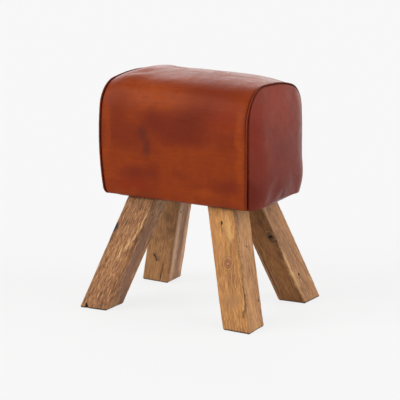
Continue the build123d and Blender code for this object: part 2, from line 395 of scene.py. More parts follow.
class Seat:
    """The seat's skin as closed rings along its length, with a grid that closes each end."""

    def __init__(self, sizes):
        self.sizes = sizes
        self.side = sizes.foot_steps + sizes.side_steps
        self.top = sizes.top_steps
        self.over = 2 * self.side + self.top
        self.around = self.over + self.top
        self.rings, self.gaps, self.zones = [], [], []
        self.build()

    def flank(self, top, half_width, inset, bottom, crown_radius, shoulder_radius):
        """Half a section: the turn under the lower edge, the hollow side, the shoulder and half the crown."""
        s = self.sizes
        crown = np.array((0.0, top - crown_radius))
        side = np.array((half_width - s.side_radius, s.base_height + s.belly_rise))
        gap = hypot(*(side - crown))
        near, far = crown_radius - shoulder_radius, s.side_radius - shoulder_radius
        along = (near**2 - far**2 + gap**2) / (2 * gap)
        across = sqrt(near**2 - along**2)
        unit = (side - crown) / gap
        shoulder = crown + unit * along + np.array((unit[1], -unit[0])) * across
        edge_height = bottom + s.edge_radius
        edge_reach = sqrt((s.side_radius - inset - s.edge_radius) ** 2 - (edge_height - side[1]) ** 2)
        edge = np.array((side[0] + edge_reach, edge_height))
        turns = (slope(side, edge), slope(side, shoulder), slope(crown, shoulder))
        long_count, short_count = 80, 60
        foot = arc(edge, s.edge_radius, -pi / 2, turns[0], s.foot_steps + 1)
        rise = np.vstack((
            arc(side, s.side_radius - inset, turns[0], turns[1], long_count),
            arc(shoulder, shoulder_radius - inset, turns[1], turns[2], short_count)[1:],
            arc(crown, crown_radius - inset, turns[2], pi / 2, short_count)[1:],
        ))
        return foot, rise

    def outline(self, side, share, top, half_width, inset, bottom):
        """A section across the seat: front edge, front, top, back, back edge and bottom.

        Towards the right seam the front half of the arch stands higher over a rounder shoulder, and the back
        half of the top is rounder; towards the left seam the back half is flatter.
        """
        s = self.sizes
        to_right = share if side > 0 else 0.0
        end_radius = s.right_crown_radius if side > 0 else s.left_crown_radius
        back_radius = s.back_crown_radius * (1 - share) + end_radius * share
        front_radius = s.crown_radius + (s.front_crown_radius - s.crown_radius) * to_right
        shoulder_radius = s.shoulder_radius + s.shoulder_growth * to_right
        foot, front = self.flank(top, half_width, inset, bottom, front_radius, shoulder_radius)
        _, back = self.flank(top, half_width, inset, bottom, back_radius, s.shoulder_radius)
        mirrored = np.array((-1.0, 1.0))
        main = resampled(np.vstack((front * mirrored, back[-2::-1])), 2 * s.side_steps + s.top_steps + 1)
        rise_y, rise_reach, rise_start, rise_height = -0.052, 0.052, 0.085, 0.08
        high = np.clip((main[:, 1] - top + rise_start) / rise_height, 0, 1)
        high = high**2 * (3 - 2 * high) * np.exp(-(((main[:, 0] - rise_y) / rise_reach) ** 2))
        main[:, 1] += to_right * s.front_rise * high
        floor = np.linspace(foot[0], foot[0] * mirrored, s.top_steps + 1)
        return np.vstack((foot[:-1] * mirrored, main, foot[-2::-1], floor[1:-1]))

    def bow(self, side, height):
        """How far a seam stands out at a height: in at its foot, out at the belly, in at the crown."""
        s = self.sizes
        share = (height - s.base_height) / (s.seam_height - s.base_height)
        reach, depth, power = (0.014, s.left_tuck, 2) if side < 0 else (0.09, s.right_tuck, 1)
        tucked = depth * np.clip(1 - (height - s.base_height) / reach, 0, 1) ** power
        return s.bow_foot * (1 - share) + s.bow_crown * share + s.bow_belly * 4 * share * (1 - share) - tucked

    def roll(self, share):
        """A ring of an end: reach past the seam, how far it is drawn in and lifted, way to the seam."""
        s = self.sizes
        angle = pi / 2 * share**1.5
        reach = s.end_bulge * sin(angle)
        drawn_in = s.end_roll * (1 - cos(angle))
        past_edge = max(0.0, reach - (s.end_bulge - s.edge_radius))
        lift = s.edge_radius - sqrt(s.edge_radius**2 - past_edge**2)
        return reach, drawn_in, lift, hypot(reach, drawn_in)

    def add_ring(self, x, top, half_width, inset, lift, gap, zone):
        s = self.sizes
        side = -1 if x < 0 else 1
        share = min(1.0, abs(x) / s.seam_reach) ** 4
        outline = self.outline(side, share, top, half_width, inset, s.base_height + lift)
        along_x = x + side * share * self.bow(side, outline[:, 1])
        past_seam = abs(x) - s.seam_reach
        if past_seam > 0:
            fullness = s.right_fullness if side > 0 else s.left_fullness
            heights = (outline[:, 1] - s.base_height) / (s.seam_height - s.base_height)
            blend = 0.07
            shifted = [heights + shift for shift in np.linspace(-blend, blend, 9)]
            factor = np.mean([np.interp(at, s.fullness_stops, fullness) for at in shifted], axis=0)
            along_x += side * (factor - 1) * past_seam
        self.rings.append(np.column_stack((along_x, outline)))
        self.gaps.append(gap)
        self.zones.append(zone)

    def build(self):
        s = self.sizes
        half = s.seam_reach
        margin = 0.018
        rolls = [self.roll(step / s.roll_steps) for step in range(1, s.roll_steps + 1)]
        beside_seam = (0.0, 0.0012, 0.0026, 0.0044, 0.007, 0.0102, 0.014)
        even = np.linspace(-half + margin, half - margin, s.long_steps + 1)
        left, right = [-half + gap for gap in beside_seam], [half - gap for gap in reversed(beside_seam)]
        for reach, *roll in reversed(rolls):
            self.add_ring(-half - reach, s.seam_height, s.belly_half, *roll, "left")
        for x in (*left, *even, *right):
            share = abs(x) / half
            top = s.seat_height - (s.seat_height - s.seam_height) * share**3
            top += s.hump_height * exp(-(((x - s.hump_x) / s.hump_width) ** 2)) * (1 - share**16)
            half_width = s.belly_half + s.belly_swell * (1 - share**2)
            self.add_ring(x, top, half_width, 0.0, 0.0, half - abs(x), "wrap")
        for reach, *roll in rolls:
            self.add_ring(half + reach, s.seam_height, s.belly_half, *roll, "right")
        self.seams = (self.zones.index("wrap"), self.zones.index("right") - 1)
        seam = self.rings[self.seams[1]]
        steps = np.linalg.norm(np.diff(seam, axis=0, append=seam[:1]), axis=1)
        self.along = np.concatenate(([0.0], np.cumsum(steps)[:-1]))
        self.points = [point for ring in self.rings for point in ring]
        self.gap = [gap for gap in self.gaps for _ in range(self.around)]
        self.quads = []
        for index in range(len(self.rings) - 1):
            zone = "right" if index >= self.seams[1] else self.zones[index]
            for step in range(self.around):
                self.add_quad(zone, index, step)
        self.patch(0, "left", False)
        self.patch(len(self.rings) - 1, "right", True)
        self.points = np.array(self.points)

    def add_quad(self, zone, index, step):
        following = (step + 1) % self.around
        low, high = index * self.around, (index + 1) * self.around
        if step >= self.over and zone == "wrap":
            x, y, _ = self.points[low + step]
            if abs(y) < self.sizes.flap_reach_y:
                zone = "lid" if abs(x) <= self.sizes.flap_reach_x else "left" if x < 0 else "right"
        self.quads.append((zone, (low + step, low + following, high + following, high + step)))

    def patch(self, index, zone, turned):
        """Fills the flat middle of an end with a grid that starts from its last ring."""
        patch_gap = 0.06
        ids = list(range(index * self.around, (index + 1) * self.around))
        up_front = ids[: self.side + 1]
        over = ids[self.side : self.side + self.top + 1]
        up_back = ids[self.side + self.top : self.over + 1][::-1]
        below = ids[:1] + ids[: self.over - 1 : -1]
        front, top, back, bottom = (
            [self.points[number] for number in edge] for edge in (up_front, over, up_back, below)
        )
        grid = [[0] * (self.side + 1) for _ in range(self.top + 1)]
        for column in range(self.top + 1):
            for row in range(self.side + 1):
                if row in (0, self.side):
                    grid[column][row] = (over if row else below)[column]
                elif column in (0, self.top):
                    grid[column][row] = (up_back if column else up_front)[row]
                else:
                    s, t = column / self.top, row / self.side
                    point = (1 - t) * bottom[column] + t * top[column]
                    point += (1 - s) * front[row] + s * back[row]
                    point -= (1 - s) * ((1 - t) * bottom[0] + t * top[0])
                    point -= s * ((1 - t) * bottom[-1] + t * top[-1])
                    grid[column][row] = len(self.points)
                    self.points.append(point)
                    self.gap.append(patch_gap)
        for near, far in zip(grid, grid[1:]):
            for row in range(self.side):
                quad = (near[row], far[row], far[row + 1], near[row + 1])
                self.quads.append((zone, quad if turned else quad[::-1]))

    def sewn(self):
        """Vertices that the thread and the turned edges hold: both seams, and the bottom between them."""
        held = set()
        for index in range(self.seams[0], self.seams[1] + 1):
            start = index * self.around
            held.update(range(start if index in self.seams else start + self.over, start + self.around))
            held.add(start)
        return sorted(held)


def linked(name, data):
    """A new object in the scene."""
    obj = bpy.data.objects.new(name, data)
    bpy.context.scene.collection.objects.link(obj)
    return obj


def mesh_object(name, points, faces):
    """A smooth mesh object at the origin."""
    mesh = bpy.data.meshes.new(name)
    mesh.from_pydata([tuple(point) for point in points], [], faces)
    mesh.update()
    mesh.shade_smooth()
    return linked(name, mesh)


def side_faces(layers, around, first=0):
    """Faces between stacked rings of points; the first number is that of the lowest ring's first point."""
    faces = []
    for low in range(first, first + (layers - 1) * around, around):
        for step in range(around):
            following = (step + 1) % around
            faces.append((low + step, low + following, low + around + following, low + around + step))
    return faces


def face_outwards(obj, middle=None):
    """Turns the faces outwards: a closed mesh's as such, an open one's away from a middle point."""
    shell = bmesh.new()
    shell.from_mesh(obj.data)
    bmesh.ops.recalc_face_normals(shell, faces=shell.faces)
    if middle:
        out = [face.normal.dot(face.calc_center_median() - middle) * face.calc_area() for face in shell.faces]
        if sum(out) < 0:
            bmesh.ops.reverse_faces(shell, faces=shell.faces)
    shell.to_mesh(obj.data)
    shell.free()


def vectors(items, field):
    """The places or directions of a mesh's vertices, as rows."""
    values = np.empty(len(items) * 3)
    items.foreach_get(field, values)
    return values.reshape(-1, 3)


def write_values(mesh, name, values):
    """Keeps one number, or one vector, for each vertex."""
    values = np.asarray(values, dtype=np.float32)
    kind, field = ("FLOAT", "value") if values.ndim == 1 else ("FLOAT_VECTOR", "vector")
    mesh.attributes.new(name, kind, "POINT").data.foreach_set(field, values.ravel())


def evaluated(obj):
    """An object as its modifiers leave it."""
    return obj.evaluated_get(bpy.context.evaluated_depsgraph_get())


def baked(obj):
    """Replaces an object's mesh by the result of its modifiers."""
    plain = bpy.data.meshes.new_from_object(evaluated(obj))
    obj.modifiers.clear()
    plain.name = obj.name
    obj.data = plain


def run_tree(obj, group, sockets, **values):
    """Gives an object a geometry node tree, with the tree's inputs set before it first runs."""
    modifier = obj.modifiers.new(group.name, "NODES")
    modifier.node_group = group
    for title, value in values.items():
        modifier[sockets[title]] = value


def inflated(skin, held, sizes):
    """Blows the sewn skin up against its seams, and returns how far each vertex moved, held to a cap."""
    frames = 20
    start = vectors(skin.data.vertices, "co")
    group = skin.vertex_groups.new(name="sewn")
    group.add(held, 1.0, "REPLACE")
    cloth = skin.modifiers.new("pressure", "CLOTH")
    settings = cloth.settings
    for name, value in (
        ("quality", 5), ("mass", 0.5), ("bending_stiffness", 12), ("shear_stiffness", 15),
        ("tension_stiffness", 30), ("compression_stiffness", 30), ("tension_damping", 20),
        ("compression_damping", 20), ("vertex_group_mass", group.name), ("use_pressure", True),
        ("uniform_pressure_force", sizes.pressure),
    ):
        setattr(settings, name, value)
    settings.effector_weights.gravity = 0
    for step in range(1, frames + 1):
        bpy.context.scene.frame_set(step)
    blown = evaluated(skin).data
    moved = vectors(blown.vertices, "co") - start
    skin.modifiers.clear()
    bpy.context.scene.frame_set(1)
    lengths = np.linalg.norm(moved, axis=1, keepdims=True)
    capped = sizes.swell_cap * np.tanh(lengths / sizes.swell_cap)
    return moved * capped / np.maximum(lengths, 1e-9)


def uneven(points, directions, depth, pitch, seed):
    """Soft swells and hollows along the given directions."""
    start = Vector((seed, 0, 0))
    swells = [noise.noise(Vector(point) / pitch + start) for point in points]
    return directions * (depth * np.array(swells))[:, None]


def tones_of(colours, *names):
    return [tuple(getattr(colours, name)) for name in names]


def spot(centre, radii, tint, amount):
    """A coloured spot of the leather, from millimetres."""
    return tuple(part / 1000 for part in centre), tuple(part / 1000 for part in radii), tint, amount


def rides(obj, slot, *nodes):
    """Puts a finished piece on the frame in the place of its CAD nodes."""
    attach(obj, "root")
    if nodes:
        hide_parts(*nodes)
    return obj


def length(name, description, default):
    return FloatProperty(name=name, description=description, default=default, unit="LENGTH")


def angle(name, description, default):
    return FloatProperty(name=name, description=description, default=radians(default), unit="ROTATION")


def number(name, description, default):
    return FloatProperty(name=name, description=description, default=default)


def count(name, description, default):
    return IntProperty(name=name, description=description, default=default)


def tone(name, description, default):
    return FloatVectorProperty(name=name, description=description, default=default, subtype="COLOR")


def shares(name, description, default):
    return FloatVectorProperty(name=name, description=description, default=default, size=len(default))


class StoolSeatSizes(bpy.types.PropertyGroup):
    seat_height: length("Seat height", "Top of the crown above the floor", wrap_high.z)
    base_height: length("Base height", "Underside of the leather above the floor", wrap_low.z)
    seam_reach: length("Seam reach", "Distance of each end seam from the middle", seam_x)
    seam_height: length("Seam height", "Top of the end seams above the floor", end_high.z)
    belly_half: length("Half width", "Half of the seat's width at its seams", (end_high.y - end_low.y) / 2)
    belly_swell: length("Belly swell", "How much wider the middle is than the seams, each side", 0.0015)
    belly_rise: length("Belly rise", "Height of the widest place above the base", 0.13)
    side_radius: length("Side radius", "Radius of the drawn-in sides", 0.7)
    shoulder_radius: length("Shoulder radius", "Radius between side and top", 0.055)
    crown_radius: length("Crown radius", "Radius of the top across the seat", 0.56)
    back_crown_radius: length("Back crown radius", "Radius of the top's back half", 0.43)
    front_crown_radius: length("Front crown radius", "Radius of the top's front half at the right seam", 1.6)
    front_rise: length("Front rise", "How much more the right seam stands up over its front half", 0.0045)
    shoulder_growth: length("Shoulder growth", "How much rounder the front is at the right seam", 0.021)
    left_crown_radius: length("Left crown radius", "Radius of the top's back half at the left seam", 0.6)
    right_crown_radius: length("Right crown radius", "Radius of the top's back half at the right seam", 0.27)
    edge_radius: length("Lower edge radius", "Radius where the leather turns under", 0.008)
    end_bulge: length("End bulge", "How far each end stands out of its seam", end_high.x - seam_x)
    end_roll: length("End roll", "How far in from the seam an end is rounded", 0.05)
    bow_foot: length("Bow at foot", "Shift of the seam's lower end", -0.0026)
    bow_belly: length("Bow at belly", "Shift of the seam half way up", 0.0038)
    bow_crown: length("Bow at crown", "Shift of the seam at the top", -0.0022)
    left_tuck: length("Left tuck", "How far the left seam is drawn in at its lower end", 0.006)
    right_tuck: length("Right tuck", "How far the right seam is drawn in at its lower end", 0.0025)
    hump_height: length("Hump height", "How much more the padding stands up near the left end", 0.0062)
    hump_x: length("Hump place", "Where along the seat it stands up", -0.13)
    hump_width: length("Hump width", "How far that reaches along the seat", 0.036)
    fullness_stops: shares(
        "Fullness stops", "Shares of the height with a given fullness", (0.0, 0.15, 0.28, 0.42, 0.75, 1.0)
    )
    right_fullness: shares(
        "Right fullness", "Fullness of the right end at these heights", (1.78, 2.22, 1.72, 1.19, 0.94, 0.62)
    )
    left_fullness: shares(
        "Left fullness", "Fullness of the left end at these heights", (0.6, 0.55, 0.5, 0.52, 0.65, 0.6)
    )
    flap_reach_x: length("Flap reach along", "Where the ends' edge stops", plywood_high.x - turned_edge)
    flap_reach_y: length("Flap reach across", "Where the hide's edge stops", plywood_high.y - turned_edge)
    edge_ripple: length("Edge ripple", "How far the lower edge is drawn up in places", 0.0018)
    hide_thickness: length("Hide thickness", "Thickness of the leather", 0.002)
    slack: length("Slack", "How far the skin starts inside its full shape", 0.001)
    swell_cap: length("Swell cap", "Most that the stuffing may push the hide out", 0.0025)
    pressure: number("Pressure", "Pressure of the stuffing on the hide", 4.0)
    lip_depth: length("Lip depth", "How deep the hide turns in at a seam", 0.0042)
    lip_reach: length("Lip reach", "Width of the turned-in edge at a seam", 0.0026)
    foot_steps: count("Foot steps", "Mesh steps round the lower edge", 3)
    side_steps: count("Side steps", "Mesh steps up each side", 42)
    top_steps: count("Top steps", "Mesh steps across the top", 38)
    long_steps: count("Long steps", "Mesh steps between the seams", 56)
    roll_steps: count("Roll steps", "Mesh rings round each end", 15)


class StoolWeltSizes(bpy.types.PropertyGroup):
    diameter: length("Diameter", "Thickness of the welts", 0.0041)
    proud: length("Proud", "Height of the welt's middle above the hide", 0.0002)
    sunk: length("Sunk ends", "Depth of the welt's middle under the hide at its ends", 0.0028)
    wrinkle: length("Wrinkle", "Height of the wrinkles across a welt", 0.0004)
    step: length("Step", "Mesh step along a welt", 0.0016)


class StoolLegSizes(bpy.types.PropertyGroup):
    thickness: length("Thickness", "Side of a leg along the seat", 0.0595)
    width: length("Width", "Side of a leg across the seat", 0.0635)
    splay_x: angle("Splay along", "Lean of the legs along the seat", 18.2)
    splay_y: angle("Splay across", "Lean of the legs across the seat", 17.2)
    turn: angle("Turn", "Twist of the legs about their own length", 3.3)
    head_x: length("Head place along", "From mid-seat to a leg's top", plywood_high.x - head_inset_x)
    head_y: length("Head place across", "From mid-seat to a leg's top", plywood_high.y - head_inset_y)
    length: length("Height", "Height of the legs under the bottom board", board_low.z)
    arris: length("Arris radius", "Rounding of the long edges", 0.003)
    chamfer: length("End chamfer", "Bevel round both cut ends", 0.003)
    roughness: length("Unevenness", "Depth of the saw and plane waves", 0.0007)
    face_steps: count("Face steps", "Mesh steps across one face", 22)
    arris_steps: count("Arris steps", "Mesh steps round one long edge", 4)
    long_steps: count("Long steps", "Mesh steps along a leg", 130)


class StoolColours(bpy.types.PropertyGroup):
    hide: tone("Hide", "Tan of the front hide", (0.25, 0.038, 0.0050))
    hide_dark: tone("Hide clouds", "Dark clouds of the hide", (0.135, 0.0165, 0.0065))
    hide_bright: tone("Hide lights", "Rubbed light places of the hide", (0.31, 0.052, 0.0065))
    # The end tones are darker and purpler than the front hide's: partly the ends' own colour, partly painted
    # shade.
    end: tone("End hide", "Red-brown of the end panels", (0.204, 0.0285, 0.0118))
    end_dark: tone("End clouds", "Dark clouds of the end panels", (0.103, 0.0138, 0.0082))
    end_bright: tone("End lights", "Rubbed light places of the end panels", (0.25, 0.038, 0.018))
    # The welt tone is painted shade on the welts' sides that face along the seat; the crest tone is the
    # hide's lighter red-brown.
    welt: tone("Welt", "Dark brown of the welts' sides", (0.068, 0.009, 0.004))
    welt_crest: tone("Welt crest", "Red-brown of the welts' rubbed crests", (0.19, 0.032, 0.011))
    sapwood: tone("Sapwood", "Golden main tone of the legs", (0.42, 0.20, 0.082))
    heartwood: tone("Heartwood", "Brown tone of the legs", (0.27, 0.12, 0.052))
    wood_shadow: tone("Wood shadow", "Dark lines and pores of the legs", (0.10, 0.042, 0.02))
    wood_pale: tone("Wood light", "Pale fibres and worn edges of the legs", (0.68, 0.40, 0.175))


class StoolStageSettings(bpy.types.PropertyGroup):
    key: number("Key light", "Strength of the light from the front left", 2.25)
    side: number("Side light", "Strength of the light from the right", 1.9)
    back: number("Back light", "Strength of the light from behind", 0.85)
    sky: number("Sky", "Strength of the light from all round", 0.5)
    camera_turn: angle("Camera turn", "Camera's angle round the stool from the front", 29.312)
    camera_rise: angle("Camera rise", "Camera's angle above the floor", 13.351)
    camera_distance: length("Camera distance", "From the camera to the point it looks at", 4.3917)
    camera_height: length("Aim height", "Height of the point that the camera looks at", 0.2253)
    camera_aside: length("Aim aside", "Shift of that point to the camera's right", -0.00194)
    lens: number("Lens", "Focal length in millimetres", 186.21)


class STOOL_OT_stage(bpy.types.Operator):
    """Sets up the pale floor, the soft lights and the camera"""

    bl_idname = "stool.stage"
    bl_label = "Stage, lights and camera"

    def execute(self, context):
        settings = context.scene.stool_stage
        scene = context.scene
        scene.view_settings.view_transform = "Standard"
        reach = 30.0
        corners = [(-reach, -reach, 0), (reach, -reach, 0), (reach, reach, 0), (-reach, reach, 0)]
        floor = mesh_object("floor", corners, [(0, 1, 2, 3)])
        floor.data.materials.append(self.floor_finish())
        self.light_sky(scene, settings)
        self.add_sun("key_light", (-0.62, -0.72, 0.5), settings.key, spread=50)
        self.add_sun("side_light", (0.86, 0.2, 0.45), settings.side, spread=60)
        self.add_sun("back_light", (-0.42, 0.80, 0.36), settings.back, spread=60)
        self.add_camera(scene, settings)
        return {"FINISHED"}

    def seen(self, finish):
        """One for the rays that show the background: straight to the camera, mirrored, or through glass."""
        camera, glossy, through = (
            finish.add("ShaderNodeLightPath", output=name)
            for name in ("Is Camera Ray", "Is Glossy Ray", "Is Transmission Ray")
        )
        return camera.larger(glossy).larger(through)

    def floor_finish(self):
        paper, glow, shown = (0.8, 0.8, 0.8, 1), (0.93, 0.93, 0.93, 1), 0.86
        finish = Finish("pale_floor")
        paper = finish.add("ShaderNodeBsdfDiffuse", {}, {"Color": paper})
        glow = finish.add("ShaderNodeEmission", {}, {"Color": glow, "Strength": 1.0})
        surface = finish.add("ShaderNodeMixShader", {}, {0: self.seen(finish) * shown, 1: paper, 2: glow})
        finish.add("ShaderNodeOutputMaterial", {}, {"Surface": surface})
        return finish.material

    def light_sky(self, scene, settings):
        world = bpy.data.worlds.new("studio")
        world.use_nodes = True
        world.node_tree.nodes.clear()
        tree = Tree(world.node_tree)
        shown = 0.918
        strength = self.seen(tree) * (shown - settings.sky) + settings.sky
        light = tree.add("ShaderNodeBackground", {}, {"Color": (1, 1, 1, 1), "Strength": strength})
        tree.add("ShaderNodeOutputWorld", {}, {"Surface": light})
        scene.world = world

    def add_sun(self, name, towards, strength, spread):
        data = bpy.data.lights.new(name, "SUN")
        data.energy = strength
        data.angle = radians(spread)
        linked(name, data).rotation_euler = Vector(towards).to_track_quat("Z", "Y").to_euler()

    def add_camera(self, scene, settings):
        turn, rise = settings.camera_turn, settings.camera_rise
        back = Vector((sin(turn) * cos(rise), -cos(turn) * cos(rise), sin(rise)))
        right = Vector((cos(turn), sin(turn), 0))
        aim = right * settings.camera_aside + Vector((0, 0, settings.camera_height))
        data = bpy.data.cameras.new("camera")
        data.lens = settings.lens
        data.sensor_width = 36.0
        data.clip_end = 100.0
        camera = linked("camera", data)
        camera.location = aim + back * settings.camera_distance
        camera.rotation_euler = back.to_track_quat("Z", "Y").to_euler()
        scene.camera = camera


class STOOL_OT_upholstery(bpy.types.Operator):
    """Makes the hide over the seat, its two plump ends and the welts in their seams"""

    bl_idname = "stool.upholstery"
    bl_label = "Leather seat and welts"

    def execute(self, context):
        sizes = context.scene.stool_seat
        seat = Seat(sizes)
        skin = mesh_object("skin", seat.points, [quad for _, quad in seat.quads])
        face_outwards(skin)
        held = seat.sewn()
        directions = vectors(skin.data.vertex_normals, "vector")
        held_reach = 0.02
        free = 1 - np.exp(-np.array(seat.gap) / held_reach)
        free[held] = 0.0
        points = seat.points
        points = points - directions * (sizes.slack * free)[:, None]
        skin.data.vertices.foreach_set("co", points.ravel())
        skin.data.update()
        points = points + inflated(skin, held, sizes)
        swell = uneven(points, directions, depth=0.001, pitch=0.06, seed=3.0)
        swell = swell + uneven(points, directions, depth=0.0005, pitch=0.02, seed=8.0)
        points = points + swell * free[:, None]
        self.draw_up(points, sizes)
        lines = [points[seam * seat.around : seam * seat.around + seat.over + 1] for seam in seat.seams]
        points = points - directions * self.turned_in(seat, sizes)[:, None]
        bpy.data.objects.remove(skin)
        self.make_panels(context, seat, points)
        self.make_welts(context, seat, lines, directions)
        return {"FINISHED"}

    def draw_up(self, points, sizes):
        """Draws the lower edge up in places, as nails do."""
        height, edge, fade, pitch, seed = 0.03, 0.1, 0.012, 0.045, 6.0
        low = np.clip(1 - (points[:, 2] - sizes.base_height) / height, 0, 1)
        outer = np.clip((abs(points[:, 1]) - edge) / fade, 0, 1)
        ripple = np.array([noise.noise(Vector((x / pitch, y / pitch, seed))) for x, y, _ in points])
        points[:, 2] += low * outer * sizes.edge_ripple * np.clip(0.5 + 1.6 * ripple, 0, 1)

    def turned_in(self, seat, sizes):
        """Depth to which the hide dips into the groove beside each welt."""
        fade_steps = 2
        gap = np.array(seat.gap)
        number = np.arange(len(gap))
        step = number % seat.around
        depth = sizes.lip_depth * np.exp(-((gap / sizes.lip_reach) ** 2))
        fade = np.clip(np.minimum(step, seat.over - step) / fade_steps, 0, 1)
        return np.where(number < len(seat.rings) * seat.around, depth * fade, 0.0)

    def make_panels(self, context, seat, points):
        colours = context.scene.stool_colours
        sizes = context.scene.stool_seat
        tones = tones_of(colours, "hide", "hide_dark", "hide_bright")
        # The ends get a darker, purpler copy of the hide: partly their own tone, partly painted shade.
        end_tones = tones_of(colours, "end", "end_dark", "end_bright")
        blots, end_blots = self.stains(*tones), self.end_stains(*end_tones)
        traits = {"brush": (0.09, 1.0, 1.0), "groove": (0.0017, 0.8), "ior": 1.15}
        end_traits = {"brush": (1.0, 1.0, 0.07), "groove": (0.0014, 0.85), "ior": 1.17}
        hide = leather("tan_hide", tones, blots, **traits)
        end_hide = leather("red_brown_hide", end_tones, end_blots, **end_traits)
        along = np.zeros(len(points))
        middle = Vector((0, 0, 0.36))
        ringed = len(seat.rings) * seat.around
        along[:ringed] = np.tile(seat.along, len(seat.rings))
        for zone, name, finish, slot, nodes in (
            ("wrap", "leather_hide", hide, "hide", ("leather_wrap", "foam_top", "foam_front", "foam_back")),
            ("left", "leather_panel_left", end_hide, "end_hide", ("leather_end_left", "foam_end_left")),
            ("right", "leather_panel_right", end_hide, "end_hide", ("leather_end_right", "foam_end_right")),
        ):
            quads = [quad for where, quad in seat.quads if where == zone]
            used = sorted({vertex for quad in quads for vertex in quad})
            number = {vertex: index for index, vertex in enumerate(used)}
            panel = mesh_object(name, points[used], [[number[vertex] for vertex in quad] for quad in quads])
            face_outwards(panel, middle)
            write_values(panel.data, "seam", np.array(seat.gap)[used])
            write_values(panel.data, "along", along[used])
            panel.data.materials.append(finish)
            wall = panel.modifiers.new("hide", "SOLIDIFY")
            wall.thickness = sizes.hide_thickness
            wall.offset = -1.0
            smooth = panel.modifiers.new("smooth", "SUBSURF")
            smooth.levels = smooth.render_levels = 1
            baked(panel)
            rides(panel, slot, *nodes)

    def stains(self, plain, dark, bright):
        """Clouds and rubbed places of the front, with painted highlights along the upper front and beside
        both seams: place and reach in millimetres, colour and strength.
        """
        smoke, red, plum = (0.085, 0.018, 0.010), (0.20, 0.017, 0.006), (0.105, 0.012, 0.005)
        front, shoulder = -118, -95
        return [
            spot((x, y, z), (along, 50, up), tint, amount)
            for y, x, z, along, up, tint, amount in (
                # Painted highlight: the bright place along the upper front stands for the lit curve under the
                # shoulder.
                (front, -30, 467, 95, 24, bright, 0.9),
                (front, 130, 466, 40, 20, plain, 0.6),
                (front, -133, 435, 26, 32, dark, 0.6),
                (front, -49, 416, 24, 20, dark, 0.75),
                (front, -120, 382, 50, 30, dark, 0.6),
                (front, -12, 402, 45, 26, dark, 0.8),
                (front, 52, 418, 36, 34, plum, 0.85),
                (front, 28, 386, 55, 20, dark, 0.8),
                (front, 72, 455, 24, 12, dark, 0.5),
                (front, 118, 432, 36, 30, red, 0.6),
                (front, 112, 385, 50, 24, dark, 0.4),
                (front, -74, 383, 13, 13, smoke, 0.8),
                (front, -60, 355, 10, 24, smoke, 0.75),
                (front, -133, 337, 45, 20, plain, 0.85),
                (front, -95, 325, 80, 16, plain, 0.7),
                (front, 30, 350, 42, 15, plain, 0.6),
                (front, 100, 318, 50, 14, plain, 0.6),
                (front, -98, 296, 30, 15, dark, 0.8),
                (front, -49, 303, 17, 14, dark, 0.6),
                (front, -110, 275, 50, 12, red, 0.6),
                (front, 122, 291, 26, 13, dark, 0.6),
                (front, 70, 270, 32, 11, bright, 0.7),
                (front, 0, 278, 50, 16, plain, 0.7),
                # Painted highlights: the bright strips beside both seams stand for the light on the hide
                # where it rolls into the seam.
                (front, 157, 370, 8.5, 95, bright, 0.85),
                (front, -160, 360, 8, 110, bright, 0.5),
                (shoulder, 100, 480, 90, 14, dark, 0.6),
            )
        ]

    def end_stains(self, plain, dark, bright):
        """The same red strip, dark lower part, painted sheen along the back edge and painted highlight on the
        top back shoulder at both ends: place and reach in millimetres.
        """
        red, orange = (0.20, 0.016, 0.006), (0.16, 0.014, 0.0045)
        painted_sheen, painted_glint = (0.165, 0.047, 0.040), (0.36, 0.17, 0.14)
        return [
            spot((x, y, z), (30, across, up), tint, amount)
            for x in (184, -184)
            for y, z, across, up, tint, amount in (
                (-100, 405, 15, 75, red, 0.8),
                (-78, 425, 30, 32, orange, 0.85),
                (-20, 268, 130, 42, dark, 0.9),
                (-20, 320, 120, 50, dark, 0.5),
                (10, 385, 50, 55, dark, 0.3),
                (20, 455, 110, 35, bright, 0.7),
                # Painted sheen along the rounded back edge, and a painted highlight on the top back shoulder.
                (90, 400, 45, 110, painted_sheen, 0.7),
                (108, 452, 18, 26, painted_glint, 0.7),
            )
        ]

    def make_welts(self, context, seat, lines, directions):
        sizes = context.scene.stool_welts
        finish = welt_leather("dark_welt_hide", *tones_of(context.scene.stool_colours, "welt", "welt_crest"))
        ends = np.array((0.0, 0.004, 0.002))
        fade_steps = 4
        for side, seam, line in zip(("left", "right"), seat.seams, lines):
            outwards = directions[seam * seat.around : seam * seat.around + len(line)]
            step = np.arange(len(line))
            from_end = np.clip(np.minimum(step, len(line) - 1 - step) / fade_steps, 0, 1)[:, None]
            path = line + outwards * (sizes.proud * from_end - sizes.sunk * (1 - from_end))
            path = np.vstack((path[:1] + ends, path, path[-1:] + ends * (1, -1, 1)))
            welt = self.tube(f"welt_tube_{side}", path, sizes, finish)
            rides(welt, "welt_hide", f"welt_{side}", f"welt_cord_{side}")

    def tube(self, name, path, sizes, finish):
        """A round cord along a smooth path, made by a node tree."""
        curve = bpy.data.curves.new(name, "CURVE")
        curve.dimensions = "3D"
        spline = curve.splines.new("NURBS")
        spline.points.add(len(path) - 1)
        for point, place in zip(spline.points, path):
            point.co = (*place, 1.0)
        spline.order_u = 4
        spline.use_endpoint_u = True
        line = linked(name, curve)
        run_tree(line, *welt_tree(finish), Diameter=sizes.diameter, Wrinkle=sizes.wrinkle, Step=sizes.step)
        plain = bpy.data.meshes.new_from_object(evaluated(line))
        bpy.data.objects.remove(line)
        plain.name = name
        plain.shade_smooth()
        obj = linked(name, plain)
        face_outwards(obj)
        return obj


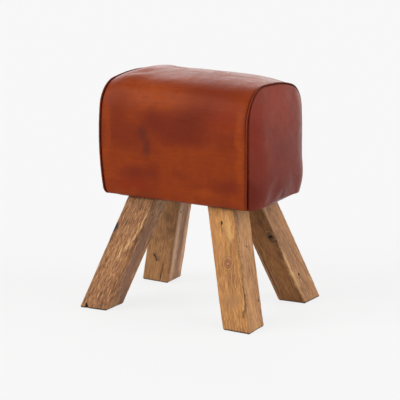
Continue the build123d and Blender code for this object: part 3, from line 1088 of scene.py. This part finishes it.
def tree_with_inputs(name, **sizes):
    """A geometry node tree with named length inputs, its group input node and the inputs' identifiers."""
    group = bpy.data.node_groups.new(name, "GeometryNodeTree")
    group.interface.new_socket("Geometry", in_out="INPUT", socket_type="NodeSocketGeometry")
    identifiers = {}
    for title, value in sizes.items():
        socket = group.interface.new_socket(title, in_out="INPUT", socket_type="NodeSocketFloat")
        socket.default_value = value
        identifiers[title] = socket.identifier
    group.interface.new_socket("Geometry", in_out="OUTPUT", socket_type="NodeSocketGeometry")
    tree = Tree(group)
    source = group.nodes.new("NodeGroupInput")
    inputs = {title: Link(tree, source.outputs[title]) for title in ("Geometry", *sizes)}
    return group, tree, inputs, identifiers


def finish_tree(tree, geometry, material):
    """Ends a geometry node tree in real meshes with their material."""
    real = tree.add("GeometryNodeRealizeInstances", {}, {0: geometry})
    dressed = tree.add("GeometryNodeSetMaterial", {}, {"Geometry": real, "Material": material})
    output = tree.node_tree.nodes.new("NodeGroupOutput")
    tree.node_tree.links.new(dressed.socket, output.inputs[0])


def welt_tree(material):
    """Follows a seam with a round tube whose surface is wrinkled across its length."""
    group, tree, given, identifiers = tree_with_inputs("welt", Diameter=0.005, Wrinkle=0.0003, Step=0.002)
    length_step = {"Curve": given["Geometry"], "Length": given["Step"]}
    line = tree.add("GeometryNodeResampleCurve", {"mode": "LENGTH"}, length_step)
    section = {"Resolution": 18, "Radius": given["Diameter"] * 0.5}
    section = tree.add("GeometryNodeCurvePrimitiveCircle", {}, section)
    tube = {"Curve": line, "Profile Curve": section, "Fill Caps": True}
    tube = tree.add("GeometryNodeCurveToMesh", {}, tube)
    place = {"Vector": tree.add("GeometryNodeInputPosition")}
    crease, lean = (
        tree.add(
            "ShaderNodeTexNoise",
            {"noise_dimensions": "4D"},
            place | {"W": seed, "Scale": scale, "Detail": detail},
        )
        for seed, scale, detail in ((4.0, 330.0, 2.0), (9.0, 70.0, 1.0))
    )
    height = (crease - 0.5) * given["Wrinkle"] * 1.6 + (lean - 0.5) * given["Wrinkle"] * 1.4
    outward = {0: tree.add("GeometryNodeInputNormal"), "Scale": height}
    offset = tree.add("ShaderNodeVectorMath", {"operation": "SCALE"}, outward)
    creased = tree.add("GeometryNodeSetPosition", {}, {"Geometry": tube, "Offset": offset})
    crest = {"Geometry": creased, "Name": "crest", "Value": crease}
    crest = tree.add("GeometryNodeStoreNamedAttribute", {"data_type": "FLOAT", "domain": "POINT"}, crest)
    finish_tree(tree, crest, material)
    return group, identifiers


def screw_tree(screw, material):
    """Sets screws in a grid, each turned by its own angle."""
    group, tree, given, identifiers = tree_with_inputs("board_screws", Length=0.28, Width=0.15)
    grid = {"Size X": given["Length"], "Size Y": given["Width"], "Vertices X": 3, "Vertices Y": 2}
    grid = tree.add("GeometryNodeMeshGrid", {}, grid)
    body = tree.add("GeometryNodeObjectInfo", {}, {"Object": screw}, output="Geometry")
    turn = tree.add("FunctionNodeRandomValue", {"data_type": "FLOAT"}, {2: 0.0, 3: 1.5, "Seed": 5}, output=1)
    angles = tree.add("ShaderNodeCombineXYZ", {}, {2: turn})
    placed = {"Points": grid, "Instance": body, "Rotation": angles}
    placed = tree.add("GeometryNodeInstanceOnPoints", {}, placed)
    finish_tree(tree, placed, material)
    return group, identifiers


class STOOL_OT_screws(bpy.types.Operator):
    """Makes the cross-recessed screws that hold the bottom board"""

    bl_idname = "stool.screws"
    bl_label = "Bottom board screws"
    head = 0.004

    def execute(self, context):
        screw = self.model_screw(board_low.z - screws_low.z, screws_high.z - board_low.z)
        host = mesh_object("board_screw_set", [(0, 0, 0)], [])
        length, width = (2 * (reach - self.head) for reach in (screws_high.x, screws_high.y))
        run_tree(host, *screw_tree(screw, steel("plated_steel")), Length=length, Width=width)
        baked(host)
        host.data.transform(Matrix.Translation((0, 0, board_low.z)))
        bpy.data.objects.remove(screw)
        host.data.set_sharp_from_angle(angle=radians(50))
        rides(host, "screw_steel", "bottom_board_screws")
        return {"FINISHED"}

    def model_screw(self, depth, length):
        """A domed head with a cross recess below the board, and its shank above."""
        around = 48
        recess, cross_half, cross_reach = 0.0011, 0.00042, 0.002
        shank, tip, taper = 0.002, 0.0004, 0.003
        rim_share, dome_share = 0.3, 0.8
        turns = [(cos(2 * pi * step / around), sin(2 * pi * step / around)) for step in range(around)]
        points = [(0.0, 0.0, -depth + recess)]
        for reach in (0.0005, 0.001, 0.0014, 0.0018, 0.0022, 0.0027, 0.0033, 0.0038, self.head):
            share = reach / self.head
            dome = -depth * (rim_share if share == 1 else sqrt(1 - share**2 * dome_share))
            for x, y in turns:
                aside, ahead = sorted((abs(reach * x), abs(reach * y)))
                in_cross = aside < cross_half and ahead < cross_reach
                points.append((reach * x, reach * y, dome + (recess if in_cross else 0.0)))
        for reach, height in ((self.head, 0.0), (shank, 0.0), (shank, length - taper), (tip, length)):
            points += [(reach * x, reach * y, height) for x, y in turns]
        layers = len(points) // around
        faces = [(0, 1 + (step + 1) % around, 1 + step) for step in range(around)]
        faces += side_faces(layers, around, 1)
        faces.append(tuple(range(len(points) - around, len(points))))
        screw = mesh_object("board_screw", points, faces)
        face_outwards(screw)
        return screw


# The near black of holes and voids is painted shade inside them.
painted_hole_shade, brown, rust = (0.012, 0.006, 0.004), (0.070, 0.026, 0.011), (0.16, 0.06, 0.025)
plum, cream = (0.15, 0.065, 0.040), (0.66, 0.40, 0.18)

# Where a block's faces lie in its own section: the axis across the face, and the face's place on it
FACES = {"front": (1, -0.03175), "right": (0, 0.02975), "back": (1, 0.032), "left": (0, -0.031)}

# A tint's place and radii, as in a mark
WHOLE_FACE = (0, 120, 40, 300, 6)

# The figure of each block: its marks, the pith's place, the part of the figure, its coarseness, its tint, and
# how far the left, right, front and back faces stand out. A mark is a kind, a face, a place across the face
# and up the block, radii across, up and into the wood (all in millimetres) and a colour.
FIGURES = {
    "front_left": (
        (
            ("tint", "front", *WHOLE_FACE, (0.74, 0.66, 0.59)),
            ("tint", "right", *WHOLE_FACE, (0.94, 0.92, 0.90)),
            ("void", "front", -30, 170, 7.2, 11.2, 14, painted_hole_shade),
            ("hole", "front", -19, -7, 1.6, 4.2, 10, painted_hole_shade),
            ("hole", "front", -16, -11.2, 3, 3.4, 10, painted_hole_shade),
            ("stain", "front", 28.3, 166, 4, 8, 10, brown),
            ("stain", "front", 27, 210, 1.6, 24, 10, cream),
            ("stain", "front", 22.5, 172, 1.6, 16, 10, cream),
            ("stain", "front", 15, 146, 3, 12, 10, cream),
            ("stain", "front", 6, 124, 2, 14, 10, cream),
            ("hole", "right", -14.7, 228, 1, 5, 6, brown),
            ("hole", "right", -19, 214, 0.8, 3, 6, brown),
            ("stain", "right", -4, 130, 18, 90, 12, (0.22, 0.10, 0.062)),
            ("stain", "right", 18, 40, 12, 30, 12, plum),
            ("knot", "back", -6, 110, 9, 11, 20, rust),
        ),
        (0.02, 0.055), (0.11, 0.02, 0.3), 0.9, (1.0, 1.0, 1.0), (0.001, 0.002, 0.0, 0.0),
    ),
    "back_left": (
        (
            ("tint", "front", *WHOLE_FACE, (0.92, 0.90, 0.76)),
            ("hole", "front", -9.2, 80, 1.6, 3, 10, brown),
            ("hole", "front", -7, 76.5, 1.6, 3.4, 10, brown),
            ("hole", "front", -4.6, 72.8, 1.6, 3.4, 10, brown),
            ("hole", "front", -2.2, 69, 1.6, 3, 10, brown),
            ("stain", "front", 2, 74, 5, 8, 10, (0.14, 0.06, 0.028)),
            ("hole", "front", 15, 56, 0.9, 12, 10, brown),
            ("hole", "front", 13, 32, 1.2, 14, 10, brown),
            ("stain", "front", 12, 195, 12, 12, 10, (0.13, 0.055, 0.025)),
            ("stain", "front", 20, 165, 10, 6, 10, (0.15, 0.065, 0.03)),
            ("stain", "right", 9, 205, 5.5, 42, 12, plum),
            ("stain", "right", 5, 140, 5, 48, 12, plum),
            ("stain", "right", 0, 70, 4, 48, 12, plum),
            ("stain", "right", -18, 125, 8.5, 120, 12, (0.58, 0.36, 0.23)),
            ("stain", "right", 22, 100, 8.5, 120, 12, (0.60, 0.36, 0.21)),
            ("hole", "right", -18, 213, 1.3, 2, 8, painted_hole_shade),
            ("knot", "left", 6, 140, 8, 10, 20, rust),
        ),
        (-0.05, 0.03), (0.4, 0.1, 0.05), 0.25, (0.86, 0.86, 0.9), (0.002, 0.004, 0.0, -0.002),
    ),
    "front_right": (
        (
            ("tint", "front", *WHOLE_FACE, (0.88, 0.87, 0.64)),
            ("tint", "right", *WHOLE_FACE, (0.86, 0.94, 0.98)),
            ("hole", "front", -3.4, 219.5, 2.2, 4.2, 10, painted_hole_shade),
            ("stain", "front", -4, 208, 1.2, 9, 10, brown),
            ("knot", "front", -0.5, 134, 9.6, 10.8, 25, (0.20, 0.064, 0.026)),
            ("stain", "front", -24, 190, 6, 50, 12, (0.40, 0.17, 0.055)),
            ("stain", "front", 10.5, 205, 6, 30, 12, (0.56, 0.31, 0.105)),
            ("stain", "front", 28.7, 130, 0.9, 130, 12, (0.16, 0.075, 0.035)),
            ("hole", "front", 28.5, 60, 1, 20, 12, brown),
            ("hole", "right", 5.5, 167, 1.4, 2.6, 6, painted_hole_shade),
            ("stain", "right", 5, 180, 1, 8, 6, brown),
            ("hole", "right", 24.5, 55, 1.4, 3, 6, brown),
            ("stain", "front", 22.5, 27, 3.5, 6, 12, brown),
            ("stain", "front", 19, 20, 3, 4, 12, brown),
            ("stain", "front", 26.2, 35, 2, 9, 12, brown),
            ("stain", "front", -4, 55, 22, 14, 12, (0.30, 0.14, 0.05)),
            ("stain", "right", -20, 222, 5, 20, 10, (0.17, 0.08, 0.055)),
        ),
        (0.045, 0.05), (0.7, 0.3, 0.9), 0.3, (1.22, 1.12, 1.0), (0.0036, 0.0, 0.0, 0.0035),
    ),
    "back_right": (
        (
            # Painted shade: the front face is tinted darker for the shadow of the seat over it.
            ("tint", "front", *WHOLE_FACE, (0.60, 0.53, 0.39)),
            ("tint", "right", *WHOLE_FACE, (0.92, 0.94, 0.97)),
            ("knot", "front", 18, 168, 9, 14, 25, (0.07, 0.03, 0.012)),
            ("hole", "front", 18.5, 170.5, 4.6, 2.2, 10, painted_hole_shade),
            ("hole", "front", 26.1, 157.5, 1.8, 1.8, 10, painted_hole_shade),
            ("stain", "front", 10, 205, 6, 14, 12, (0.10, 0.042, 0.018)),
            ("stain", "front", 28.5, 142, 3, 20, 12, (0.12, 0.05, 0.02)),
            ("stain", "front", 22, 120, 3, 12, 12, (0.12, 0.05, 0.02)),
            ("stain", "right", -29, 85, 4, 55, 6, cream),
            ("stain", "front", -26.5, 100, 1.6, 70, 10, (0.30, 0.15, 0.07)),
            ("hole", "front", -22.5, 95, 0.7, 60, 10, brown),
            ("stain", "front", -19, 70, 1.2, 40, 10, (0.30, 0.15, 0.07)),
            ("hole", "right", -6, 59, 2.6, 3, 6, brown),
            ("stain", "right", -8, 53, 4, 3, 6, brown),
        ),
        (-0.03, 0.06), (0.2, 0.8, 0.6), 0.35, (0.95, 0.92, 0.9), (0.0022, 0.0, 0.0, 0.0035),
    ),
}


def mark(kind, face, aside, height, across, up, deep, tint):
    """A mark as the finish and the shape of a block use it: kind, centre, radii and colour."""
    axis, reach = FACES[face]
    centre, radii = [aside / 1000, height / 1000], [across / 1000, up / 1000]
    centre.insert(axis, reach)
    radii.insert(axis, deep / 1000)
    return kind, tuple(centre), tuple(radii), tint


class STOOL_OT_legs(bpy.types.Operator):
    """Makes the four rough block legs"""

    bl_idname = "stool.legs"
    bl_label = "Block legs"

    def execute(self, context):
        tones = tones_of(context.scene.stool_colours, "sapwood", "heartwood", "wood_shadow", "wood_pale")
        for name in ("front_left", "front_right", "back_left", "back_right"):
            rows, pith, shift, coarse, tint, grown = FIGURES[name]
            marks = [mark(*row) for row in rows]
            tinted = [tuple(a * b for a, b in zip(tone, tint)) for tone in tones]
            leg = self.block(name, context.scene.stool_legs, shift, marks, grown)
            leg.data.materials.append(block_wood(f"block_wood_{name}", tinted, pith, shift, coarse, marks))
            rides(leg, "leg_wood", f"leg_{name}")
        return {"FINISHED"}

    def block(self, name, sizes, shift, marks, grown):
        """A square block from floor to bottom board, with worn arrises, waves and its marks' hollows."""
        side_x = -1 if "left" in name else 1
        side_y = -1 if "front" in name else 1
        axis = Vector((-side_x * tan(sizes.splay_x), -side_y * tan(sizes.splay_y), 1.0))
        head = Vector((side_x * sizes.head_x, side_y * sizes.head_y, sizes.length))
        foot = head - axis * sizes.length
        axis.normalize()
        along_x = Vector((1, 0, 0)) - axis * axis.x
        along_x.normalize()
        along_y = axis.cross(along_x)
        turn = sizes.turn * side_x * side_y
        across = along_x * cos(turn) + along_y * sin(turn)
        deep = along_y * cos(turn) - along_x * sin(turn)
        section, outward = self.section(sizes, grown)
        heights = self.heights(sizes)
        points, grain, wear = [], [], []
        seed = Vector(shift) * 10
        for height, inset in heights:
            for (a, b), (u, v) in zip(section, outward):
                rise = (height - a * across.z - b * deep.z) / axis.z
                local = Vector((a, b, rise))
                depth, rubbed = self.hollow(sizes, local, seed, abs(u * v) * 2, marks)
                a_moved, b_moved = a - u * (depth + inset), b - v * (depth + inset)
                rise = (height - a_moved * across.z - b_moved * deep.z) / axis.z
                points.append(foot + across * a_moved + deep * b_moved + axis * rise)
                grain.append(tuple(local))
                wear.append(rubbed)
        around = len(section)
        faces = side_faces(len(heights), around)
        faces += [tuple(reversed(range(around))), tuple(range(len(points) - around, len(points)))]
        leg = mesh_object(f"block_leg_{name}", points, faces)
        write_values(leg.data, "grain", grain)
        write_values(leg.data, "wear", wear)
        face_outwards(leg)
        leg.data.set_sharp_from_angle(angle=radians(55))
        return leg

    def section(self, sizes, grown):
        """Points round the block's section, with their outward directions; each face has its own place."""
        left, right, front, back = grown
        arris = sizes.arris
        left, right = -(sizes.thickness / 2 + left - arris), sizes.thickness / 2 + right - arris
        front, back = -(sizes.width / 2 + front - arris), sizes.width / 2 + back - arris
        corners = [(right, back), (left, back), (left, front), (right, front)]
        points, outward = [], []
        for quarter, corner in enumerate(corners):
            target = corners[(quarter + 1) % 4]
            start = quarter * pi / 2
            for step in range(sizes.arris_steps + 1):
                angle = start + pi / 2 * step / sizes.arris_steps
                points.append((corner[0] + arris * cos(angle), corner[1] + arris * sin(angle)))
                outward.append((cos(angle), sin(angle)))
            direction = (round(cos(start + pi / 2)), round(sin(start + pi / 2)))
            for step in range(1, sizes.face_steps):
                share = step / sizes.face_steps
                ends = zip(corner, target, direction)
                points.append(tuple(a + (b - a) * share + arris * out for a, b, out in ends))
                outward.append(direction)
        return points, outward

    def heights(self, sizes):
        """Heights of the mesh's rows and how far each is drawn in, so that both ends have a bevel."""
        bevel, top = sizes.chamfer, sizes.length
        shares = [step / sizes.long_steps for step in range(sizes.long_steps + 1)]
        straight = [(bevel + (top - 2 * bevel) * share, 0.0) for share in shares]
        up, drawn_in = bevel * 0.45, bevel * 0.4
        return [(0.0, bevel), (up, drawn_in), *straight, (top - up, drawn_in), (top, bevel)]

    def hollow(self, sizes, local, seed, arris, marks):
        """How deep the surface lies below the sawn face at a place, and how rubbed it is."""
        fibre_depth, chip_depth, hole_depth, knot_rise = 0.00018, 0.0022, 0.0035, 0.0005
        least_hole, full_hole = 0.0016, 0.003
        stretched = Vector((local.x, local.y, local.z * 0.3))
        waves = noise.noise(stretched * 38 + seed) * 0.7 + noise.noise(stretched * 110 + seed) * 0.35
        fine = noise.noise(Vector((local.x, local.y, local.z * 0.12)) * 420 + seed)
        depth = sizes.roughness * (1.0 + waves) + fibre_depth * fine
        chip = noise.noise(local * 42 + seed * 2) * 0.6 + noise.noise(local * 130 + seed) * 0.4
        worn = arris * max(0.0, 0.25 + chip)
        depth += chip_depth * worn
        for kind, centre, radii, _ in marks:
            if kind not in ("hole", "knot"):
                continue
            stretch = [max(radius * 1.1, least_hole) if kind == "hole" else radius * 1.6 for radius in radii]
            near = sum(((local[i] - centre[i]) / stretch[i]) ** 2 for i in range(3))
            if kind == "hole":
                depth += hole_depth * min(1.0, min(radii) / full_hole) * max(0.0, 1 - near / 2.2)
            else:
                depth -= knot_rise * max(0.0, 1 - near)
        return depth, min(1.0, worn * 1.8)


class STOOL_OT_box(bpy.types.Operator):
    """Gives the plywood box, its posts, the bottom board and the hidden screws their finishes"""

    bl_idname = "stool.box"
    bl_label = "Box and bottom board"

    def execute(self, context):
        across, upright = (0.05, 1.0, 1.0), (1.0, 1.0, 0.05)
        pale_ply, dark_ply = (0.74, 0.58, 0.38), (0.56, 0.41, 0.25)
        pale_pine, dark_pine = (0.78, 0.62, 0.40), (0.62, 0.43, 0.24)
        pale_stain, dark_stain, along = (0.035, 0.028, 0.022), (0.016, 0.013, 0.011), (0.06, 1.0, 1.0)
        boards = [f"{kind}_board" for kind in ("base", "top")]
        boards += ["end_board_left", "end_board_right", "side_board_front", "side_board_back"]
        for finish, names in (
            (board_wood("birch_plywood", pale_ply, dark_ply, across, 30.0, 0.6), boards),
            (board_wood("planed_softwood", pale_pine, dark_pine, upright, 60.0, 0.6), ("corner_posts",)),
            (board_wood("stained_board", pale_stain, dark_stain, along, 40.0, 0.55), ("bottom_board",)),
            (steel("plated_screws"), ("washers", "coach_screws")),
        ):
            for name in names:
                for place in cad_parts[name].material_slots:
                    place.material = finish
        return {"FINISHED"}


class STOOL_PT_sidebar(bpy.types.Panel):
    """Lists the pieces of the stool and their sizes"""

    bl_label = "Leather stool"
    bl_idname = "STOOL_PT_sidebar"
    bl_space_type = "VIEW_3D"
    bl_region_type = "UI"
    bl_category = "Stool"

    def draw(self, context):
        for operator in OPERATORS:
            self.layout.operator(operator.bl_idname)
        for name, group in GROUPS.items():
            box = self.layout.box()
            for field in group.__annotations__:
                box.prop(getattr(context.scene, name), field)


OPERATORS = (STOOL_OT_stage, STOOL_OT_upholstery, STOOL_OT_screws, STOOL_OT_legs, STOOL_OT_box)
GROUPS = {
    "stool_seat": StoolSeatSizes,
    "stool_welts": StoolWeltSizes,
    "stool_legs": StoolLegSizes,
    "stool_colours": StoolColours,
    "stool_stage": StoolStageSettings,
}
CLASSES = (*GROUPS.values(), *OPERATORS, STOOL_PT_sidebar)


def register():
    for item in CLASSES:
        bpy.utils.register_class(item)
    for name, group in GROUPS.items():
        setattr(bpy.types.Scene, name, PointerProperty(type=group))


def unregister():
    for name in GROUPS:
        delattr(bpy.types.Scene, name)
    for item in reversed(CLASSES):
        bpy.utils.unregister_class(item)


def main():
    register()
    bpy.ops.stool.stage()
    bpy.ops.stool.upholstery()
    bpy.ops.stool.screws()
    bpy.ops.stool.legs()
    bpy.ops.stool.box()
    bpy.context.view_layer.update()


if __name__ == "__main__":
    main()
